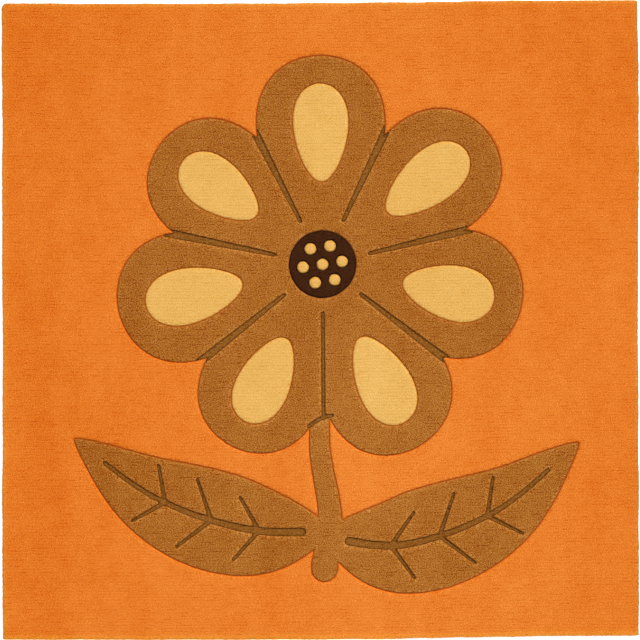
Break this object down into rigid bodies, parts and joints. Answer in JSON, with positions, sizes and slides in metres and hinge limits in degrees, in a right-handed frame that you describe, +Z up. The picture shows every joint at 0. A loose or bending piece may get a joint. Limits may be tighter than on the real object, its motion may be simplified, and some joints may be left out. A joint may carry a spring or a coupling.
{
  "type": "kids rug",
  "caption": "Square flat cut-pile kids rug in orange, brown and cream, with a carved flower, stem and two leaves, rounded pile edges and a flat underside.",
  "frame": {"origin": "centre of the underside, where the rug lies on the floor", "axes": "+Z up out of the pile, +Y towards the top of the flower, +X to its right"},
  "size_m": [1.1022, 1.1064, 0.013],
  "materials": {
    "orange_pile": "dull cut pile, tufted in rows",
    "brown_pile": "dull cut pile, tufted in rows",
    "short_brown_pile": "dull short pile, sheared low",
    "cream_pile": "dull cut pile, tufted in rows",
    "dark_pile": "dull cut pile, tufted in rows",
    "base_cloth": "plain woven cotton on the underside"
  },
  "bodies": {
    "root": {"rug": "orange_pile"}
  },
  "joints": []
}
